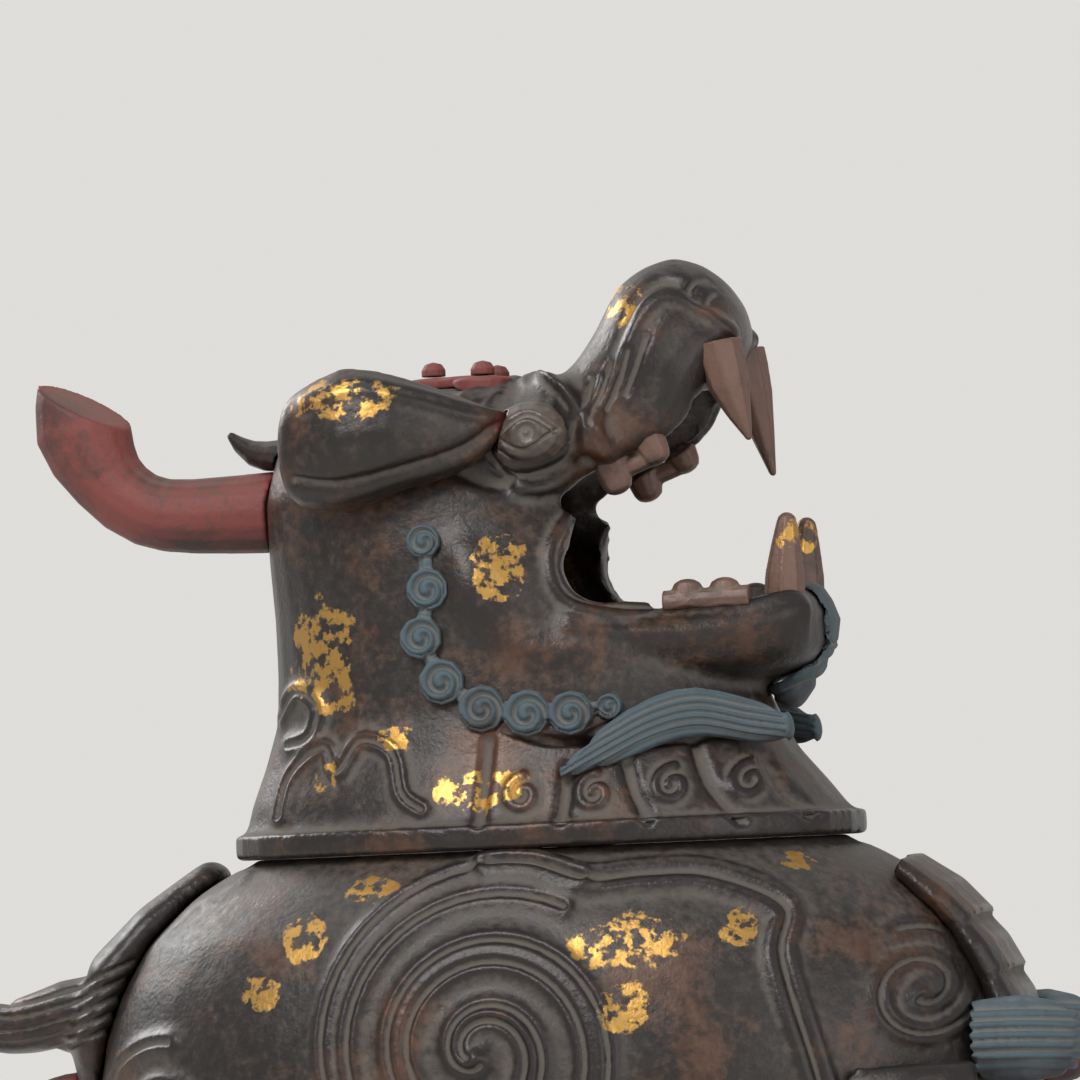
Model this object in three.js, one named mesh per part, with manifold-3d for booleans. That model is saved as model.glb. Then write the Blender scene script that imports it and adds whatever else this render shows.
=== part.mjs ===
// A censer cast as a standing beast that faces +X: a hollow barrel body on four paws, and a head that lifts off.
// Incense burns in a loose liner inside the body, and its smoke leaves through the neck and the open mouth.
// Millimetres, +Z up, the ground at Z 0. The origin is on the ground, below the middle of the overall box.

import * as THREE from "three";
import { mergeVertices } from "three/addons/utils/BufferGeometryUtils.js";
import Module from "manifold-3d";

const wasm = await Module();
wasm.setup();

// Driving dimensions of the body
const RIM_Z = 160; // height of the joint face between the body and the head
const BARREL_HALF_LENGTH = 113;
const BARREL_HALF_WIDTH = 78;
const BARREL_DEPTH = 106; // from the joint face down to the belly
const BODY_WALL = 4.5;
const SEAT_HEIGHT = 2; // the ring that the head stands on
const SEAT_INSET = 4.5; // how far that ring is set in from the head's rim
const MOUTH_HALF_LENGTH = 66.2; // the body's opening
const MOUTH_HALF_WIDTH = 45.8;
const LEDGE_DROP = 10; // the liner's ledge, below the joint face
const LEDGE_THICK = 4;
const LEDGE_REACH = 6;

// Driving dimensions of the liner
const LINER_DEPTH = 58;
const LINER_WALL = 1.6;
const FLANGE_THICK = 1.6;

// Driving dimensions of the legs
const FRONT_LEG_X = 77;
const REAR_LEG_X = -76;
const LEG_Y = 51;
const SHIN_HALF = 12.5;
const PAW_HALF_WIDTH = 17.5;
const PAW_HEIGHT = 20;
const TOES = 4;
const LEG_TENON_RADIUS = 7;

// Driving dimensions of the chest plates
const PLATES = 6;
const PLATE_TOP = 8; // below the joint face
const PLATE_PITCH = 12.5;
const PLATE_HALF_WIDTH = 26;
const PLATE_PROUD = 6;

// Driving dimensions of the head
const RIM_HALF_LENGTH = 76.8;
const RIM_HALF_WIDTH = 56;
const RIM_BAND = 6;
const NECK_HALF_WIDTH = 42;
const NECK_BACK = 65; // from the middle of the rim back to the nape
const CROWN_Z = 112; // top of the skull above the joint face
const JAW_REACH = 71;
const JAW_TOP = 57.5;
const JAW_BOTTOM = 35.5;
const JAW_HALF_WIDTH = 30;
const MUZZLE_HALF_WIDTH = 28;
const HEAD_WALL = 4.5;
const SPIGOT_DEPTH = 7.5;
const SPIGOT_WALL = 2.5;

// Driving dimensions of the horn and the crest
const HORN_REACH = 112; // how far back the middle of the horn's bulb stands
const HORN_Z = 85;
const HORN_RADIUS = 9.4;
const HORN_BULB_RADIUS = 12;
const HORN_TENON_RADIUS = 6;
const EAR_TENON_RADIUS = 4;
const CREST_THICK = 2.6;
const STUD_RADIUS = 3;

// Clearances
const GAP = 0.3; // between a fitted piece and what it seats on
const FIT = 0.3; // round a tenon in its hole
const LIFT_CLEARANCE = 0.6; // round a piece that is lifted out
const OVERRUN = 1; // how far a cutter passes the face that it cuts

const DEGREE = Math.PI / 180;

const FINISHES = {
  lacquer: { color: 0x2a1d16, roughness: 0.38, metalness: 0.55 },
  red: { color: 0x8a2f1f, roughness: 0.55, metalness: 0.1 },
  blue: { color: 0x3c4f57, roughness: 0.7, metalness: 0.1 },
  green: { color: 0x3f6b55, roughness: 0.75, metalness: 0.05 },
  tooth: { color: 0x5c4a38, roughness: 0.6, metalness: 0.2 },
  brass: { color: 0x6b552f, roughness: 0.5, metalness: 0.8 },
};

/** A solid for cutting and joining, from a closed three.js geometry. */
function solidOf(geometry) {
  const bare = geometry.clone();
  bare.deleteAttribute("normal");
  bare.deleteAttribute("uv");
  const merged = mergeVertices(bare, 1e-4);
  const mesh = new wasm.Mesh({
    numProp: 3,
    vertProperties: merged.attributes.position.array,
    triVerts: new Uint32Array(merged.index.array),
  });
  return new wasm.Manifold(mesh);
}

/** A three.js geometry from a solid. */
function geometryOf(solid) {
  const { numProp, vertProperties, triVerts } = solid.getMesh();
  const count = vertProperties.length / numProp;
  const points = new Float32Array(count * 3);
  for (let i = 0; i < count; i += 1) {
    points.set(vertProperties.subarray(i * numProp, i * numProp + 3), i * 3);
  }
  const geometry = new THREE.BufferGeometry();
  geometry.setAttribute("position", new THREE.BufferAttribute(points, 3));
  geometry.setIndex(new THREE.BufferAttribute(new Uint32Array(triVerts), 1));
  geometry.computeVertexNormals();
  return geometry;
}

/** The largest body of a solid, without the offcuts that a cut leaves. */
function withoutOffcuts(solid) {
  const bodies = solid.decompose();
  return bodies.reduce((most, next) => (next.volume() > most.volume() ? next : most));
}

/** What is left of a solid after it is cut clear of a neighbour, with the gap between them. */
function clearOf(solid, neighbour) {
  const shifts = [-GAP, GAP].flatMap((gap) => [
    [gap, 0, 0],
    [0, gap, 0],
    [0, 0, gap],
  ]);
  return withoutOffcuts(shifts.reduce((rest, shift) => rest.subtract(neighbour.translate(shift)), solid));
}

/** All the solids joined into one. */
function joined(solids) {
  return solids.reduce((sum, next) => sum.add(next));
}

/** The solid of a geometry moved by a matrix. */
function moved(geometry, matrix) {
  return solidOf(geometry.clone().applyMatrix4(matrix));
}

/** The mirror image of a geometry across the plane Y 0. */
function mirrored(geometry) {
  const copy = geometry.index ? geometry.toNonIndexed() : geometry.clone();
  copy.applyMatrix4(new THREE.Matrix4().makeScale(1, -1, 1));
  const points = copy.attributes.position.array;
  for (let i = 0; i < points.length; i += 9) {
    for (let axis = 0; axis < 3; axis += 1) {
      [points[i + 3 + axis], points[i + 6 + axis]] = [points[i + 6 + axis], points[i + 3 + axis]];
    }
  }
  return copy;
}

/** A solid on one side, or its mirror image: side is -1 for the beast's right and 1 for its left. */
function onSide(solid, side) {
  return side < 0 ? solid : solidOf(mirrored(geometryOf(solid)));
}

/** A value between p1 and p2 on the smooth curve through four values. */
function catmullRom(p0, p1, p2, p3, t) {
  const a = 2 * p1;
  const b = p2 - p0;
  const c = 2 * p0 - 5 * p1 + 4 * p2 - p3;
  const d = 3 * p1 - p0 - 3 * p2 + p3;
  return 0.5 * (a + b * t + c * t * t + d * t * t * t);
}

/**
 * A loft's key section. The path runs in a plane of constant Y, and lean is its direction there, in degrees from +X
 * towards +Z. wide is half the width across Y, over half the depth to the left of the path and under to its right.
 */
function section(x, y, z, lean, wide, over, under = over, power = 2) {
  return [x, y, z, lean, wide, over, under, power];
}

/** Sections between the keys, on smooth curves through them. */
function between(keys, steps) {
  const made = [];
  for (let i = 0; i < keys.length - 1; i += 1) {
    const around = [keys[Math.max(i - 1, 0)], keys[i], keys[i + 1], keys[Math.min(i + 2, keys.length - 1)]];
    for (let step = 0; step < steps; step += 1) {
      made.push(keys[i].map((_, k) => catmullRom(...around.map((key) => key[k]), step / steps)));
    }
  }
  made.push(keys[keys.length - 1]);
  return made;
}

/** Sections that round off an end of a loft over a length: direction is -1 at its start and 1 at its end. */
function dome(key, length, direction) {
  const [x, y, z, lean, wide, over, under, power] = key;
  const turns = [35, 62, 82].map((angle) => angle * DEGREE);
  const made = turns.map((angle) => {
    const along = direction * length * Math.sin(angle);
    const size = Math.cos(angle);
    return [
      x + along * Math.cos(lean * DEGREE),
      y,
      z + along * Math.sin(lean * DEGREE),
      lean,
      wide * size,
      over * size,
      under * size,
      power,
    ];
  });
  return direction < 0 ? made.reverse() : made;
}

/** The points of one section, going round its path. */
function ringPoints([x, y, z, lean, wide, over, under, power], count) {
  const side = new THREE.Vector3(-Math.sin(lean * DEGREE), 0, Math.cos(lean * DEGREE));
  const points = [];
  for (let i = 0; i < count; i += 1) {
    const angle = (2 * Math.PI * i) / count;
    const across = Math.cos(angle);
    const deep = Math.sin(angle);
    const u = Math.sign(across) * Math.abs(across) ** (2 / power) * wide;
    const v = Math.sign(deep) * Math.abs(deep) ** (2 / power) * (deep > 0 ? over : under);
    points.push(new THREE.Vector3(x + side.x * v, y + u, z + side.z * v));
  }
  return points;
}

/** A closed geometry through rings of points, with a flat fan at each end. */
function skin(rings) {
  const count = rings[0].length;
  const middle = (ring) => ring.reduce((sum, p) => sum.add(p), new THREE.Vector3()).divideScalar(count);
  const points = [...rings.flat(), middle(rings[0]), middle(rings[rings.length - 1])];
  const start = rings.length * count;
  const last = (rings.length - 1) * count;
  const faces = [];
  for (let i = 0; i < count; i += 1) {
    const j = (i + 1) % count;
    for (let r = 0; r < rings.length - 1; r += 1) {
      const a = r * count;
      faces.push(a + i, a + j, a + count + i, a + j, a + count + j, a + count + i);
    }
    faces.push(start, j, i, start + 1, last + i, last + j);
  }
  const geometry = new THREE.BufferGeometry();
  geometry.setAttribute("position", new THREE.Float32BufferAttribute(points.flatMap((p) => p.toArray()), 3));
  geometry.setIndex(faces);
  return geometry;
}

/** A closed solid through key sections. domes rounds its two ends off over those lengths, and 0 leaves one flat. */
function loft(keys, { around = 20, steps = 2, domes = [0, 0] } = {}) {
  let sections = between(keys, steps);
  if (domes[0]) sections = [...dome(keys[0], domes[0], -1), ...sections];
  if (domes[1]) sections = [...sections, ...dome(keys[keys.length - 1], domes[1], 1)];
  const geometry = skin(sections.map((key) => ringPoints(key, around)));
  const solid = solidOf(geometry);
  if (solid.volume() > 0) return solid;
  const { array } = geometry.index;
  for (let i = 0; i < array.length; i += 3) {
    [array[i + 1], array[i + 2]] = [array[i + 2], array[i + 1]];
  }
  return solidOf(geometry);
}

/** An upright oval plate from one height to another, as half lengths along X and Y. */
function oval(halfLength, halfWidth, low, high, around = 36) {
  const ring = (z) => ringPoints([0, 0, z, 90, halfWidth, halfLength, halfLength, 2.25], around);
  return solidOf(skin([ring(low), ring(high)]));
}

/** A round peg between two points. */
function peg(from, to, radius, around = 16) {
  const run = new THREE.Vector3().subVectors(to, from);
  const turn = new THREE.Quaternion().setFromUnitVectors(new THREE.Vector3(0, 1, 0), run.clone().normalize());
  const middle = new THREE.Vector3().addVectors(from, to).multiplyScalar(0.5);
  const matrix = new THREE.Matrix4().compose(middle, turn, new THREE.Vector3(1, 1, 1));
  return moved(new THREE.CylinderGeometry(radius, radius, run.length(), around), matrix);
}

/** How far out along a direction the surface of a solid is, on the line through a point. */
function surfaceAt(solid, point, direction) {
  const mesh = new THREE.Mesh(geometryOf(solid), new THREE.MeshBasicMaterial({ side: THREE.DoubleSide }));
  const far = point.clone().addScaledVector(direction, 500);
  const hits = new THREE.Raycaster(far, direction.clone().negate()).intersectObject(mesh);
  if (!hits.length) throw new Error("no surface at " + point.toArray().join(", "));
  return hits[0].point;
}

const RIGHT = new THREE.Vector3(0, -1, 0);
const vector = (x, y, z) => new THREE.Vector3(x, y, z);

// The body

/** Half length of the barrel as a share of its longest, at a share of its depth below the joint face. */
const BARREL_PROFILE = [
  [0.02, 0.68],
  [0.08, 0.775],
  [0.18, 0.876],
  [0.29, 0.938],
  [0.4, 0.978],
  [0.53, 1],
  [0.67, 0.985],
  [0.8, 0.9],
  [0.91, 0.74],
  [0.97, 0.54],
  [1, 0.26],
];

/** The barrel, grown by a margin all round: a negative margin gives the hollow inside its wall. */
function barrel(grow, around = 36) {
  const keys = BARREL_PROFILE.map(([drop, share]) => {
    const middle = RIM_Z - BARREL_DEPTH / 2;
    const z = middle + (RIM_Z - drop * BARREL_DEPTH - middle) * (1 + (2 * grow) / BARREL_DEPTH);
    return section(0, 0, z, -90, share * BARREL_HALF_WIDTH + grow, share * BARREL_HALF_LENGTH + grow, undefined, 2.25);
  });
  return loft(keys, { around, steps: 1 });
}

const barrelSolid = barrel(0);
const barrelSeat = barrel(GAP);

/** The hollow barrel with its seat ring, its opening and the ledge that the liner hangs on. */
function makeBodyShell(tenonHoles) {
  const seat = oval(RIM_HALF_LENGTH - SEAT_INSET, RIM_HALF_WIDTH - SEAT_INSET, RIM_Z - 3 * SEAT_HEIGHT, RIM_Z);
  const collar = oval(
    MOUTH_HALF_LENGTH + BODY_WALL,
    MOUTH_HALF_WIDTH + BODY_WALL,
    RIM_Z - LEDGE_DROP - LEDGE_THICK,
    RIM_Z - SEAT_HEIGHT,
  );
  const opening = oval(MOUTH_HALF_LENGTH, MOUTH_HALF_WIDTH, RIM_Z - LEDGE_DROP, RIM_Z + OVERRUN);
  const throat = oval(
    MOUTH_HALF_LENGTH - LEDGE_REACH,
    MOUTH_HALF_WIDTH - LEDGE_REACH,
    RIM_Z - LEDGE_DROP - LEDGE_THICK - OVERRUN,
    RIM_Z,
  );
  const hollow = barrel(-BODY_WALL, 28);
  let shell = barrelSolid.add(seat).subtract(hollow);
  shell = shell.add(collar).subtract(opening).subtract(throat);
  return withoutOffcuts(tenonHoles.reduce((rest, hole) => rest.subtract(hole), shell));
}

/** The loose pan that holds the ash, hung by its flange on the ledge. */
function makeLiner() {
  const top = RIM_Z - LEDGE_DROP + FLANGE_THICK;
  const halfLength = MOUTH_HALF_LENGTH - LEDGE_REACH - LIFT_CLEARANCE;
  const halfWidth = MOUTH_HALF_WIDTH - LEDGE_REACH - LIFT_CLEARANCE;
  const bottom = top - LINER_DEPTH;
  const bowl = (grow, from, to) =>
    loft(
      [
        section(0, 0, from, -90, halfWidth + grow, halfLength + grow, undefined, 2.25),
        section(0, 0, bottom + 22, -90, halfWidth + grow, halfLength + grow, undefined, 2.25),
        section(0, 0, bottom + 7, -90, halfWidth + grow - 3, halfLength + grow - 3, undefined, 2.25),
        section(0, 0, to, -90, halfWidth + grow - 12, halfLength + grow - 12, undefined, 2.25),
      ],
      { around: 28, steps: 1 },
    );
  const flange = oval(
    MOUTH_HALF_LENGTH - LIFT_CLEARANCE,
    MOUTH_HALF_WIDTH - LIFT_CLEARANCE,
    RIM_Z - LEDGE_DROP,
    top,
    36,
  );
  return bowl(0, top, bottom).add(flange).subtract(bowl(-LINER_WALL, top + OVERRUN, bottom + LINER_WALL));
}

/** One leg with its paw, its toes and the tenon that is riveted over inside the body. side is -1 or 1. */
function makeLeg(front, side) {
  const x = front ? FRONT_LEG_X : REAR_LEG_X;
  const bend = front ? 0 : -7; // the rear leg's hock stands behind its paw
  const y = -LEG_Y;
  const thigh = 25;
  const keys = [
    section(x + 5, y + 8, 106, -90, 18, thigh, thigh),
    section(x + 4, y, 84, -90, 21, thigh, thigh),
    section(x + 2 + bend, y - 3, 60, -90, 17, 18, 19),
    section(x + bend, y - 4, 38, -90, SHIN_HALF, SHIN_HALF, SHIN_HALF + 1),
    section(x + 2, y - 4, PAW_HEIGHT, -90, PAW_HALF_WIDTH - 3, 16, 14),
    section(x + 5, y - 4, 8, -90, PAW_HALF_WIDTH, 19, 17, 2.4),
    section(x + 5, y - 4, 0, -90, PAW_HALF_WIDTH - 1, 19, 16, 2.4),
  ];
  const pieces = [loft(keys, { around: 14, steps: 1 })];
  for (let toe = 0; toe < TOES; toe += 1) {
    const spread = (toe + 0.5) / TOES - 0.5;
    const toeY = y - 4 + 2 * spread * (PAW_HALF_WIDTH - 0.5);
    const reach = x + 26 - 22 * spread * spread;
    const half = PAW_HALF_WIDTH / TOES;
    pieces.push(
      loft(
        [
          section(x + 10, toeY, 9, 0, half, 8, 8.6),
          section(reach - 5, toeY, 8.5, 0, half, 7, 8.1),
          section(reach, toeY, 5.5, 0, half - 1, 4.5, 5.2),
        ],
        { around: 8, steps: 1, domes: [0, 3] },
      ),
    );
  }
  const floor = moved(new THREE.BoxGeometry(200, 100, 20), new THREE.Matrix4().makeTranslation(x, y, -10));
  const body = joined(pieces).subtract(floor);
  return onSide(withoutOffcuts(body.subtract(barrelSeat)).add(legTenon(front, 0)), side);
}

/** A leg's tenon, from inside the thigh up through the body's wall, grown by a margin. */
function legTenon(front, grow) {
  const x = front ? FRONT_LEG_X : REAR_LEG_X;
  const inwards = front ? -1 : 1;
  const low = vector(x + 2, -LEG_Y - 3, 60);
  const high = vector(x + 2 + inwards * 12, -LEG_Y + 16, 98);
  return peg(low, high, LEG_TENON_RADIUS + grow);
}

/** The tail: a band down the rump, from which a plume sweeps back and curls up. */
function makeTail() {
  const band = loft(
    [
      section(-84, 0, RIM_Z - 4, 225, 10, 8, 5),
      section(-97, 0, RIM_Z - 14, 228, 20, 9, 6),
      section(-107, 0, RIM_Z - 26, 238, 25, 10, 8),
      section(-112, 0, RIM_Z - 42, 262, 24, 10, 9),
      section(-112, 0, RIM_Z - 58, 278, 15, 8, 6),
    ],
    { around: 16, steps: 1, domes: [4, 5] },
  );
  const plume = loft(
    [
      section(-104, 0, RIM_Z - 36, 190, 20, 12, 11),
      section(-122, 0, RIM_Z - 36, 188, 15, 9, 9),
      section(-138, 0, RIM_Z - 38.5, 180, 10.5, 6.5, 6.5),
      section(-152, 0, RIM_Z - 36, 152, 8.5, 6.5, 6.5),
      section(-160, 0, RIM_Z - 26, 105, 7.5, 7, 7),
      section(-158, 0, RIM_Z - 13, 66, 5, 5, 5),
    ],
    { around: 12, domes: [0, 6] },
  );
  return withoutOffcuts(band.add(plume).subtract(barrelSeat));
}

/** The scaled strip down the chest, each plate lapping over the one below it. */
function makeChestPlates() {
  const onChest = (drop) => surfaceAt(barrelSolid, vector(0, 0, RIM_Z - drop), vector(1, 0, 0));
  const across = (drop, wide, proud) => {
    const { x, z } = onChest(drop);
    const run = onChest(drop + 1).sub(onChest(drop - 1));
    const lean = Math.atan2(run.z, run.x) / DEGREE;
    return section(x, 0, z, lean, wide, proud, 5, 2.6);
  };
  const plates = [];
  for (let drop = PLATE_TOP; drop < PLATE_TOP + PLATES * PLATE_PITCH; drop += PLATE_PITCH) {
    const rows = [
      across(drop, PLATE_HALF_WIDTH - 2, PLATE_PROUD - 2.4),
      across(drop + 0.6 * PLATE_PITCH, PLATE_HALF_WIDTH, PLATE_PROUD - 0.6),
      across(drop + 1.15 * PLATE_PITCH, PLATE_HALF_WIDTH - 1, PLATE_PROUD),
    ];
    plates.push(loft(rows, { around: 14, steps: 1 }));
  }
  return withoutOffcuts(joined(plates).subtract(barrelSeat));
}

// The head, modelled above its own joint face

/** Rows of the neck and skull: height, how far back, how far forward, half width. */
function neckRows() {
  return [
    [RIM_BAND, -RIM_HALF_LENGTH + 2.5, RIM_HALF_LENGTH - 3, RIM_HALF_WIDTH - 3],
    [13, -NECK_BACK - 7.5, 68.5, NECK_HALF_WIDTH + 8.5],
    [22, -NECK_BACK - 4, 61, NECK_HALF_WIDTH + 4],
    [33, -NECK_BACK - 0.5, 56, NECK_HALF_WIDTH + 1],
    [44, -NECK_BACK, 50, NECK_HALF_WIDTH],
    [58, -NECK_BACK, 40, NECK_HALF_WIDTH - 1],
    [72, -NECK_BACK - 0.8, 28, NECK_HALF_WIDTH - 2],
    [0.77 * CROWN_Z, -NECK_BACK - 1, 16, NECK_HALF_WIDTH - 4],
    [0.875 * CROWN_Z, -NECK_BACK + 2, 10, NECK_HALF_WIDTH - 9],
    [0.955 * CROWN_Z, -NECK_BACK + 13, 4, NECK_HALF_WIDTH - 18],
    [CROWN_Z, -NECK_BACK + 30, -8, NECK_HALF_WIDTH - 30],
  ];
}

/** The outside of the head, grown by a margin all round. */
function headForm(grow) {
  const upright = ([z, back, front, wide]) =>
    section((back + front) / 2, 0, z, 90, wide + grow, (front - back) / 2 + grow, undefined, 2.2);
  const rows = neckRows().map(([z, ...rest]) => [z === CROWN_Z ? z + grow : z, ...rest]);
  const neck = loft([[-grow, ...rows[0].slice(1)], ...rows].map(upright), { around: 32, steps: 1 });
  const rim = oval(RIM_HALF_LENGTH + grow, RIM_HALF_WIDTH + grow, -grow, RIM_BAND + grow, 32);
  const jawMiddle = (JAW_TOP + JAW_BOTTOM) / 2;
  const jawHalf = (JAW_TOP - JAW_BOTTOM) / 2 + grow;
  const jaw = loft(
    [
      section(-6, 0, jawMiddle - 2, 0, JAW_HALF_WIDTH + 9 + grow, jawHalf, jawHalf + 4),
      section(16, 0, jawMiddle, 0, JAW_HALF_WIDTH + 7 + grow, jawHalf, undefined, 2.2),
      section(36, 0, jawMiddle, 0, JAW_HALF_WIDTH + 2 + grow, jawHalf, undefined, 2.5),
      section(52, 0, jawMiddle + 1, 0, JAW_HALF_WIDTH - 2 + grow, jawHalf, undefined, 2.6),
      section(JAW_REACH - 8, 0, jawMiddle + 3.5, 0, JAW_HALF_WIDTH - 6 + grow, jawHalf - 0.5, undefined, 2.6),
    ],
    { around: 22, domes: [0, 8 + grow] },
  );
  const muzzle = loft(
    [
      section(-2, 0, 91, 35, MUZZLE_HALF_WIDTH + 8 + grow, 20 + grow, 19 + grow),
      section(15, 0, 100, 33, MUZZLE_HALF_WIDTH + 5 + grow, 14.5 + grow, 15 + grow, 2.2),
      section(28, 0, 109.5, 35, MUZZLE_HALF_WIDTH + 1 + grow, 18 + grow, 18.6 + grow, 2.4),
      section(35, 0, 119, 38, MUZZLE_HALF_WIDTH - 1 + grow, 19.5 + grow, 18 + grow, 2.4),
      section(41, 0, 127, 42, MUZZLE_HALF_WIDTH - 5 + grow, 16.5 + grow, 16.5 + grow, 2.3),
    ],
    { around: 22, domes: [0, 11 + grow] },
  );
  return neck.add(rim).add(jaw).add(muzzle);
}

/** The mouth seen from the side: its corner is an arc, the lower lip nearly level and the upper lip rising. */
function mouthOpening() {
  const outline = new THREE.Shape();
  outline.moveTo(110, JAW_TOP + 6);
  outline.lineTo(66, JAW_TOP + 4.5);
  outline.lineTo(45, JAW_TOP + 0.3);
  outline.lineTo(24, JAW_TOP);
  outline.absarc(21, JAW_TOP + 10, 10, -Math.PI / 2, -Math.PI, true);
  outline.quadraticCurveTo(13, 80, 20, 85);
  outline.quadraticCurveTo(42, 93, 48, 108);
  outline.quadraticCurveTo(51, 115, 58, 117);
  outline.lineTo(110, 117);
  const width = 4 * JAW_HALF_WIDTH;
  const slab = new THREE.ExtrudeGeometry(outline, { depth: width, bevelEnabled: false, curveSegments: 5 });
  slab.applyMatrix4(new THREE.Matrix4().makeRotationX(90 * DEGREE));
  slab.applyMatrix4(new THREE.Matrix4().makeTranslation(0, width / 2, 0));
  return solidOf(slab);
}

/** The space inside the neck and skull, with the troughs of both jaws. */
function headHollow() {
  const rows = neckRows().slice(0, 8);
  const inner = ([z, back, front, wide]) => {
    const b = back + HEAD_WALL;
    const f = Math.min(front, 58) - 2 * HEAD_WALL;
    return section((b + f) / 2, 0, z, 90, wide - HEAD_WALL, (f - b) / 2, undefined, 2.2);
  };
  const flared = inner([0, -RIM_HALF_LENGTH + 9, RIM_HALF_LENGTH - 9, RIM_HALF_WIDTH - 10]);
  flared[2] = -OVERRUN;
  const neck = loft([flared, ...rows.slice(1).map(inner)], { around: 24, steps: 1, domes: [0, 7] });
  const trough = loft(
    [
      section(0, 0, JAW_TOP + 2, 0, JAW_HALF_WIDTH - 1, 12, 14, 2.4),
      section(36, 0, JAW_TOP + 2, 0, JAW_HALF_WIDTH - 5, 12, 14, 2.4),
      section(56, 0, JAW_TOP + 3, 0, JAW_HALF_WIDTH - 10, 12, 12, 2.4),
    ],
    { around: 16, steps: 1, domes: [0, 5] },
  );
  const palate = loft(
    [
      section(4, 0, 76, 42, MUZZLE_HALF_WIDTH - 2, 12, 12, 2.4),
      section(28, 0, 93, 42, MUZZLE_HALF_WIDTH - 6, 11, 10, 2.4),
      section(42, 0, 107, 45, MUZZLE_HALF_WIDTH - 10, 8, 10, 2.4),
    ],
    { around: 16, steps: 1, domes: [0, 4] },
  );
  return neck.add(trough).add(palate);
}

const headSolid = headForm(0);
const headSeat = headForm(GAP);
const mouthSolid = mouthOpening();

/** The cast head: neck, skull and both jaws round one hollow. */
function makeHeadShell(holes) {
  const shell = headSolid.subtract(mouthSolid).subtract(headHollow());
  return withoutOffcuts(holes.reduce((rest, hole) => rest.subtract(hole), shell));
}

/** The ring under the rim that locates the head in the body's opening. */
function makeSpigot() {
  const halfLength = MOUTH_HALF_LENGTH - LIFT_CLEARANCE;
  const halfWidth = MOUTH_HALF_WIDTH - LIFT_CLEARANCE;
  const inside = oval(halfLength - SPIGOT_WALL, halfWidth - SPIGOT_WALL, -SPIGOT_DEPTH - OVERRUN, OVERRUN);
  return oval(halfLength, halfWidth, -SPIGOT_DEPTH, -GAP).subtract(inside);
}

/** The horn, swept back from the skull and up into a bulb that is cut off at a slant. */
function makeHorn() {
  const bulbX = -HORN_REACH;
  const form = loft(
    [
      section(-NECK_BACK + 4, 0, HORN_Z, 180, HORN_RADIUS, HORN_RADIUS + 1, HORN_RADIUS + 0.6),
      section(-85, 0, HORN_Z, 180, HORN_RADIUS, HORN_RADIUS, HORN_RADIUS - 0.4),
      section(-97, 0, HORN_Z + 2.5, 160, HORN_RADIUS, HORN_RADIUS, HORN_RADIUS - 1),
      section(bulbX + 6, 0, HORN_Z + 10, 125, HORN_RADIUS, HORN_RADIUS + 0.5, HORN_RADIUS - 0.5),
      section(bulbX, 0, HORN_Z + 21, 97, HORN_RADIUS + 1, HORN_BULB_RADIUS, HORN_BULB_RADIUS),
      section(bulbX, 0, HORN_Z + 36, 95, HORN_RADIUS, HORN_BULB_RADIUS - 1, HORN_BULB_RADIUS - 1),
    ],
    { around: 16, steps: 2 },
  );
  const cut = new THREE.BoxGeometry(60, 60, 30);
  cut.applyMatrix4(new THREE.Matrix4().makeTranslation(0, 0, 15));
  cut.applyMatrix4(new THREE.Matrix4().makeRotationX(12 * DEGREE));
  cut.applyMatrix4(new THREE.Matrix4().makeRotationY(27 * DEGREE));
  cut.applyMatrix4(new THREE.Matrix4().makeTranslation(bulbX, 0, HORN_Z + 28.5));
  return withoutOffcuts(form.subtract(solidOf(cut)).subtract(headSeat)).add(hornTenon(0));
}

/** The horn's tenon through the back of the skull, grown by a margin. */
function hornTenon(grow) {
  const length = 2 * HEAD_WALL + 6;
  const start = vector(-NECK_BACK - 6, 0, HORN_Z);
  return peg(start, vector(start.x + length, 0, HORN_Z), HORN_TENON_RADIUS + grow);
}

/** The pointed lock of hair above the horn's root. */
function makeNapeLock() {
  const lock = loft(
    [
      section(-50, 0, 99, 178, 12, 6, 6),
      section(-62, 0, 98.5, 178, 9, 4.5, 4),
      section(-70, 0, 100, 165, 5, 3.6, 2.6),
      section(-75, 0, 104, 125, 1.4, 1.2, 1),
    ],
    { around: 12, domes: [0, 1] },
  );
  return withoutOffcuts(lock.subtract(headSeat));
}

/** An ear: a swept-back leaf with a heavy rounded lobe, closed at the back and pointed in front. */
function makeEar(side) {
  const root = surfaceAt(headSolid, vector(-34, 0, 94), RIGHT).y;
  const y = root - 5;
  const ear = loft(
    [
      section(-50, y - 1, 97.5, 0, 8, 14, 14, 2.2),
      section(-38, y - 3, 99, 0, 11, 17.5, 17.5),
      section(-25, y - 3, 100, 0, 10, 14, 14),
      section(-13, y + 1, 99.5, 0, 8, 10, 10.5),
      section(-4, y + 4, 101, 0, 5, 4.5, 6),
      section(0, y + 6, 103, 0, 2, 1.2, 1.5),
    ],
    { around: 12, domes: [5, 1] },
  );
  return onSide(withoutOffcuts(ear.subtract(headSeat)).add(earTenon(0)), side);
}

/** An ear's tenon into the skull, grown by a margin. */
function earTenon(grow) {
  const y = surfaceAt(headSolid, vector(-34, 0, 94), RIGHT).y;
  return peg(vector(-34, y - 6, 97), vector(-34, y + HEAD_WALL + 4, 95), EAR_TENON_RADIUS + grow, 12);
}

/** An eyeball: a shallow dome let into the socket below the brow. */
function makeEye(side) {
  const y = surfaceAt(headSolid, vector(5, 0, 98), RIGHT).y + 3;
  const eye = new THREE.SphereGeometry(10, 14, 8);
  eye.applyMatrix4(new THREE.Matrix4().makeScale(1, 0.85, 0.82));
  eye.applyMatrix4(new THREE.Matrix4().makeTranslation(5, y, 98.5));
  return onSide(withoutOffcuts(solidOf(eye).subtract(headSeat)), side);
}

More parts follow.
